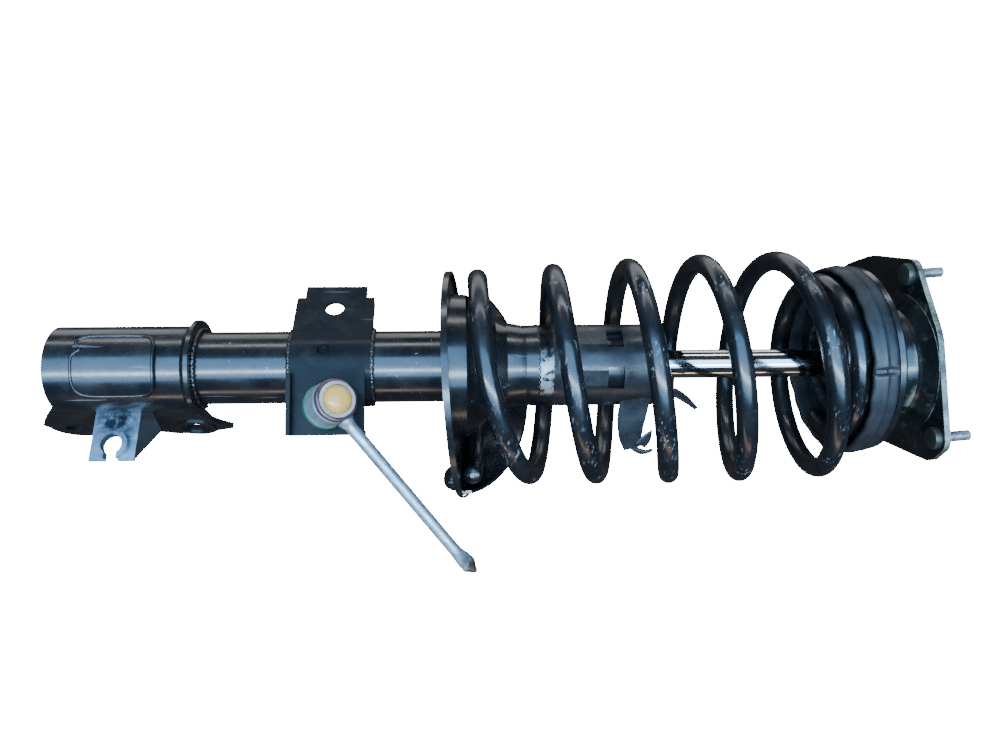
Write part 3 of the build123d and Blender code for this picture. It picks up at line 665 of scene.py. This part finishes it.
def upper_insulator():
    """Rubber cup: smooth outer wall with a mould line and a slot, scalloped inner lip."""
    profile = [
        (40, -39.3), (52, -39.2), (66, -39.2), (68.2, -39.3), (68.3, -42.2), (70.5, -42.4),
        (72.0, -43.4), (72.3, -45.6), (72.4, -49), (72.4, -51.2), (73.0, -51.8), (72.4, -52.4),
        (72.3, -56), (72.0, -58.6), (71.4, -60.2), (70.2, -61.0), (69.2, -60.9), (68.4, -59.8),
        (67.8, -56), (67.0, -49.4), (62, -48.2), (55, -48.0), (49, -48.1), (46.6, -48.8),
        (45.4, -52), (44.6, -55), (42.6, -56), (40.5, -55.6), (40, -54), (40, -46),
    ]
    slot_side, slot_half_width, slot_depth = LINK_SIDE + 8, 2.2, 2.6

    def ripple(angle, radius, height):
        if radius < 48 and height < -50:
            radius -= 1.1 * (0.5 + 0.5 * math.cos(math.radians(angle * 30)))
        if height < -58 and radius > 65:
            height += 0.5 * math.cos(math.radians(angle * 9))
            height += 0.35 * math.cos(math.radians(angle * 23))
        if radius > 71.5:
            slot = smooth(slot_half_width - abs(angle_gap(angle, slot_side)), 0, 0.8)
            radius -= slot_depth * slot * smooth(-45 - height, 0, 1) * smooth(height + 60, 0, 1)
        return radius, height

    points, faces = lathe(profile, 360, ripple)
    place = lean(0, MOUNT_TILT) @ Matrix.Translation(direction(ENGINE_SIDE) * INSULATOR_SHIFT)
    piece = make("insulator_rubber", points, faces, RUBBER, "rod", place, 50)
    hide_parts("upper_insulator")


def bump_stop():
    """Foam ring of the bump stop, just proud of its cup."""
    profile = [
        (11.6, -47.8), (29.6, -47.8), (29.7, -49.4), (28.6, -50.8), (26, -52.2), (24.4, -52.9),
        (22.6, -53.4), (21.6, -54.6), (20.6, -56.6), (18.4, -58.2), (16.2, -58.9),
        (13.4, -58.9), (12.0, -58.2), (11.6, -56.8), (11.6, -52),
    ]

    def ripple(angle, radius, height):
        if radius > 14:
            radius -= 0.25 * (1 + math.sin(math.radians(angle * 5)))
        return radius, height

    points, faces = lathe(profile, 96, ripple)
    piece = make("bump_stop_foam", points, faces, FOAM, "rod", sharp=60)
    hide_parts("bump_stop")


# ---- Mount studs -----------------------------------------------------------------------------------

def mount_stud(index, angle):
    """Threaded stud with a domed head under the plate."""
    head = [(0.02, -9.5), (6.2, -9.5), (7.6, -8.9), (8.4, -7.6), (8.4, -4.55)]
    shank = [(4.3, -4.5), (4.3, -0.2), (3.9, 0.4)]
    start, end = STUD_THREAD_START, STUD_THREAD_END
    steps = round((end - start) / STUD_THREAD_STEP)
    threaded = [(STUD_THREAD_R, start + (end - start) * step / steps) for step in range(steps + 1)]
    tip = [(3.1, 20.6), (2.6, 20.9), (0.02, 20.9)]

    def thread(turn, radius, height):
        if start < height < end:
            phase = (height / STUD_PITCH - turn / 360) % 1
            depth = STUD_THREAD_DEPTH * (1 - abs(2 * phase - 1))
            radius -= depth * smooth(height, start, start + 1.2)
        return radius, height

    points, faces = lathe(head + shank + threaded + tip, 48, thread)
    place = lean(0, MOUNT_TILT) @ Matrix.Translation(direction(angle) * STUD_CIRCLE_R)
    piece = make(f"mount_stud_thread_{index}", points, faces, STUD_ZINC, "top_mount", place, 30)
    painted = piece.data.attributes.new("rim", "FLOAT", "POINT")
    for number, point in enumerate(points):
        painted.data[number].value = smooth(-point[2], 3.9, 4.4)
    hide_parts(f"mount_stud_{index}")


# ---- Broken dust cover -----------------------------------------------------------------------------

def at(near, fender, height):
    """Point given towards the link side, towards the fender side, and up the strut, in mm."""
    flat = direction(LINK_SIDE) * near + direction(FENDER_SIDE) * fender
    return Vector((flat.x, flat.y, height))


def ribbon(name, controls, wide, thick, across, taper):
    """Torn strip of the sleeve's plastic along a smooth path."""
    path = spline(controls, 10)

    def section(index, share):
        return wide * (1 - taper * smooth(share, 0.3, 1)), thick

    points, faces = tube(path, section, 12, across)
    make(name, points, faces, SLEEVE, "tube", sharp=70)


def dust_straps():
    """Strips that hang from the broken end of the sleeve."""
    wide = [at(18, 21, -214), at(13, 32, -216), at(9, 44, -217.5), at(5, 56, -217), at(2, 64, -214)]
    hook = [at(2, 63, -215), at(1, 66.5, -210), at(0, 67.5, -204), at(0, 66, -199)]
    point = [at(4, 62, -209), at(6, 58, -206), at(8, 53, -203), at(9, 50, -201)]
    finger = [at(21, 19, -196), at(20, 21, -188), at(17, 25, -180), at(14, 30, -173),
              at(12, 34, -168)]
    ribbon("dust_strap_wide", wide, 11, 0.9, at(1, -0.2, 0), 0.3)
    ribbon("dust_strap_hook", hook, 2.4, 1.0, at(1, 0, 0), 0.4)
    ribbon("dust_strap_point", point, 4.2, 0.8, at(1, 0.2, 0.1), 0.85)
    ribbon("dust_strap_finger", finger, 3.6, 0.9, at(1, 0.6, 0), 0.5)


# ---- Pressed edges and weld beads ------------------------------------------------------------------

def on_tube(degrees, height, radius):
    """Point at an angle round the damper axis, in mm."""
    flat = direction(degrees) * radius
    return Vector((flat.x, flat.y, height))


def knuckle_window_edge():
    """Rolled edge of the pressed window in the knuckle bracket, with a notch on its lower edge."""
    path = []
    mm_per_degree = WINDOW_R * math.pi / 180
    half_width = WINDOW_HALF_TURN * WINDOW_R * math.pi / 180
    for index in range(WINDOW_STEPS):
        share = 2 * math.pi * index / WINDOW_STEPS
        x, y = math.cos(share), math.sin(share)
        reach = (abs(x) ** 5 + abs(y) ** 5) ** -0.2
        along, around = y * reach * WINDOW_HALF_HEIGHT, x * reach * half_width
        if along < -0.9 * WINDOW_HALF_HEIGHT:
            along += NOTCH_DEPTH * math.exp(-((around - NOTCH_PLACE) / NOTCH_WIDTH) ** 2)
        path.append(on_tube(WINDOW_SIDE - around / mm_per_degree, WINDOW_Z + along, WINDOW_R))

    def section(index, share):
        return WINDOW_EDGE_R, WINDOW_EDGE_R

    points, faces = tube(path + path[:2], section, 10, direction(LINK_SIDE))
    make("knuckle_window_edge", points, faces, BRACKET_PAINT, "tube", sharp=80)


def weld_bead(name, start, end, height, radius, size):
    """Bead of ripples laid round the tube between two angles at one height."""
    count = round(abs(end - start) / 1.5)
    path = []
    for step in range(count + 1):
        wander = 0.35 * math.sin(step * 1.3)
        path.append(on_tube(start + (end - start) * step / count, height + wander, radius))

    def section(index, share):
        ripple = 1 + 0.16 * math.sin(index * 2.1) + 0.08 * math.sin(index * 5.3)
        return size * ripple, size * ripple

    points, faces = tube(path, section, 10, Vector((0, 0, 1)))
    make(name, points, faces, BRACKET_PAINT, "tube", sharp=80)


def seat_pocket():
    """Rounded pocket pressed below the rim of the lower seat at the fender side."""
    profile = [
        (0.02, -9.5), (3.5, -9.2), (6.6, -7.6), (8.8, -4.8), (9.6, -1.2), (9.4, 2.4),
        (8.9, 2.4), (8.9, -1.2), (8.0, -4.4), (6.0, -6.8), (3.2, -8.3), (0.02, -8.6),
    ]
    points, faces = lathe(profile, 48)
    turn = Matrix.Rotation(math.radians(-12), 4, direction(LINK_SIDE))
    place = Matrix.Translation(at(10, 84, -350)) @ turn
    make("seat_pocket", points, faces, POCKET_PAINT, "tube", place, 50)


def seat_lip():
    """Curled lip of the lower seat's rim beside the pocket."""
    path = spline([at(24, 88, -350), at(12, 97, -347), at(2, 99, -343), at(-6, 97, -340)], 10)

    def section(index, share):
        return 2.6 * (1 - 0.6 * share), 0.9

    points, faces = tube(path, section, 10, direction(FENDER_SIDE))
    make("seat_lip", points, faces, SEAT_PAINT, "tube", sharp=60)


# ---- Stabiliser link -------------------------------------------------------------------------------

def link_housing():
    """Turned and crimped ball housing with a rolled rim."""
    profile = [
        (7.9, -5.6), (9.6, -7.8), (12.2, -11.4), (12.6, -12), (14.2, -12), (14.9, -11.4),
        (15.0, -9), (15.0, -4), (15.0, 3), (15.0, 6.2), (14.6, 6.8), (14.6, 7.6), (15.0, 8.2),
        (15.0, 10.4), (14.5, 11.5), (13.4, 12.0), (12.9, 11.8), (12.7, 11.0), (11.6, 10.4),
        (11.55, 7.2), (10.55, 6), (10.55, 0), (9.8, -3.6),
    ]

    def ripple(angle, radius, height):
        if radius > 12 and height > 10:
            radius += 0.14 * math.sin(math.radians(angle * 7))
        return radius, height

    points, faces = lathe(profile, 120, ripple)
    piece = make("link_housing_body", points, faces, HOUSING_ZINC, "link", HOUSING, 32)
    rim = piece.data.attributes.new("rim", "FLOAT", "POINT")
    for index, point in enumerate(points):
        rim.data[index].value = smooth(point[2], 9.6, 10.4)
    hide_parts("link_housing")


def link_rod():
    """Round rod that ends flattened, bent and torn."""
    path = []
    for index in range(ROD_STEPS + 1):
        along = ROD_START + (ROD_END - ROD_START) * index / ROD_STEPS
        bend = 2.2 * smooth(along, ROD_ROUND_END, ROD_END)
        path.append(HOUSING @ Vector((along, bend, -0.6 * bend)))

    def section(index, share):
        along = ROD_START + (ROD_END - ROD_START) * share
        neck = 1 + 0.45 * (1 - smooth(along, ROD_START, ROD_START + 7))
        flat = smooth(along, ROD_ROUND_END, ROD_END - 10)
        tear = 1 - 0.72 * smooth(along, ROD_END - 7, ROD_END)
        uneven = 1 + 0.05 * math.sin(index * 2.3) * flat
        return ROD_R * neck * (1 + 0.45 * flat) * tear * uneven, ROD_R * neck * (1 - 0.52 * flat)

    points, faces = tube(path, section, 20, HOUSING_AXIS)
    piece = make("link_rod_bar", points, faces, ROD_ZINC, "link", sharp=60)
    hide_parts("link_rod")


def link_cap():
    """Domed yellow cap with a flat worn crown."""
    profile = [
        (0.02, 10.7), (11.3, 10.7), (11.3, 12.0), (9.9, 12.2), (9.7, 13.4), (9.2, 15.2),
        (7.9, 16.8), (5.9, 17.9), (3.4, 18.5), (0.02, 18.7),
    ]
    points, faces = lathe(profile, 72)
    piece = make("link_cap_dome", points, faces, YELLOW, "link", HOUSING, 40)
    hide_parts("link_cap")


def boot():
    """Pleated rubber boot from the stud's flange to the housing's back rim."""
    rows = []
    flange = Matrix.Translation(BALL) @ STUD_AXIS.to_track_quat("Z", "X").to_matrix().to_4x4()
    flange_depth, rim_depth, segments = -20.9, 12.6, 72
    stages = [
        (0.0, 8.4), (0.12, 10.2), (0.24, 11.4), (0.36, 10.6), (0.5, 11.8),
        (0.62, 13.4), (0.76, 13.9), (0.9, 14.2), (1.0, 14.0),
    ]
    for share, radius in stages:
        row = []
        for step in range(segments):
            around = direction(360 * step / segments) * radius
            low = flange @ Vector((around.x, around.y, flange_depth))
            across = low - flange @ Vector((0, 0, flange_depth))
            flat = across - HOUSING_AXIS * across.dot(HOUSING_AXIS)
            high = BALL - HOUSING_AXIS * rim_depth + flat.normalized() * radius
            row.append(low.lerp(high, smooth(share, 0, 1)))
        rows.append(row)
    points = [tuple(p) for row in rows for p in row]
    faces = grid_faces(len(rows), segments)
    piece = make("link_boot_bellows", points, faces, SOFT_RUBBER, None, sharp=60)
    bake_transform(piece)


# ---- Stage, light and camera -----------------------------------------------------------------------

def camera():
    """Camera on the link side, turned by a small yaw and roll."""
    far = -direction(LINK_SIDE)
    yaw = math.radians(CAMERA_YAW)
    roll = math.radians(CAMERA_ROLL)
    up_strut = Vector((0, 0, 1))
    forward = far * math.cos(yaw) + up_strut * math.sin(yaw)
    right = up_strut * math.cos(yaw) - far * math.sin(yaw)
    down = direction(FENDER_SIDE)
    right_rolled = right * math.cos(roll) + down * math.sin(roll)
    up = -(down * math.cos(roll) - right * math.sin(roll))
    place = direction(LINK_SIDE) * CAMERA_DISTANCE + direction(FENDER_SIDE) * CAMERA_SIDESTEP
    place.z = CAMERA_HEIGHT
    data = bpy.data.cameras.new("camera")
    data.lens = CAMERA_LENS
    data.sensor_width = 36
    data.clip_start = 0.01
    eye = bpy.data.objects.new("camera", data)
    turn = Matrix((right_rolled, up, -forward)).transposed().to_4x4()
    eye.matrix_world = Matrix.Translation(place) @ turn
    bpy.context.scene.collection.objects.link(eye)
    bpy.context.scene.camera = eye


def area_light(name, angle, distance, size, power, colour):
    """Rectangular light at an angle round the strut, facing its middle, long side along it."""
    data = bpy.data.lights.new(name, "AREA")
    data.shape = "RECTANGLE"
    data.size, data.size_y = size
    data.energy = power
    data.color = colour
    lamp = bpy.data.objects.new(name, data)
    place = direction(angle) * distance + STRUT_MIDDLE
    away = (place - STRUT_MIDDLE).normalized()
    across = Vector((0, 0, 1)) - away * away.z
    across.normalize()
    turn = Matrix((across, away.cross(across), away)).transposed().to_4x4()
    lamp.matrix_world = Matrix.Translation(place) @ turn
    lamp.visible_camera = False
    bpy.context.scene.collection.objects.link(lamp)


def world():
    """White to the camera, dim blue grey to everything else."""
    scene_world = bpy.data.worlds.new("studio")
    scene_world.use_nodes = True
    bpy.context.scene.world = scene_world
    tree = scene_world.node_tree
    background = tree.nodes["Background"]
    background.inputs["Color"].default_value = (0.80, 0.86, 0.95, 1)
    background.inputs["Strength"].default_value = ROOM_GLOW
    white = tree.nodes.new("ShaderNodeBackground")
    white.inputs["Color"].default_value = (1, 1, 1, 1)
    white.inputs["Strength"].default_value = BACKDROP_GLOW
    path = tree.nodes.new("ShaderNodeLightPath")
    both = tree.nodes.new("ShaderNodeMixShader")
    tree.links.new(path.outputs["Is Camera Ray"], both.inputs["Fac"])
    tree.links.new(background.outputs["Background"], both.inputs[1])
    tree.links.new(white.outputs["Background"], both.inputs[2])
    tree.links.new(both.outputs["Shader"], tree.nodes["World Output"].inputs["Surface"])


def backdrop():
    """Plain pale sheet behind the strut, square to the camera."""
    f = Finish("pale_floor", roughness=0.9)
    f.colour(f.mix(f.noise(3), (0.93, 0.93, 0.93), (0.95, 0.95, 0.95)))
    f.surface.inputs["Emission Color"].default_value = (1, 1, 1, 1)
    f.surface.inputs["Emission Strength"].default_value = BACKDROP_GLOW
    away = -direction(LINK_SIDE) * BACKDROP_AWAY
    side = direction(FENDER_SIDE) * BACKDROP_HALF
    up = Vector((0, 0, BACKDROP_HALF))
    mesh = bpy.data.meshes.new("pale_floor")
    corners = [away - side - up, away + side - up, away + side + up, away - side + up]
    mesh.from_pydata(corners, [], [(0, 1, 2, 3)])
    mesh.materials.append(f.material)
    sheet = bpy.data.objects.new("pale_floor", mesh)
    bpy.context.scene.collection.objects.link(sheet)
    sheet.visible_glossy = False
    sheet.visible_diffuse = False


# ---- Build -----------------------------------------------------------------------------------------

camera()
paint_nodes()
coil_spring()
upper_insulator()
bump_stop()
for stud_index, stud_angle in enumerate(STUD_ANGLES, start=1):
    mount_stud(stud_index, stud_angle)
dust_straps()
knuckle_window_edge()
for weld in WELDS:
    weld_bead(*weld)
seat_pocket()
seat_lip()
link_housing()
link_rod()
link_cap()
boot()
for light in LIGHTS:
    area_light(*light)
world()
backdrop()
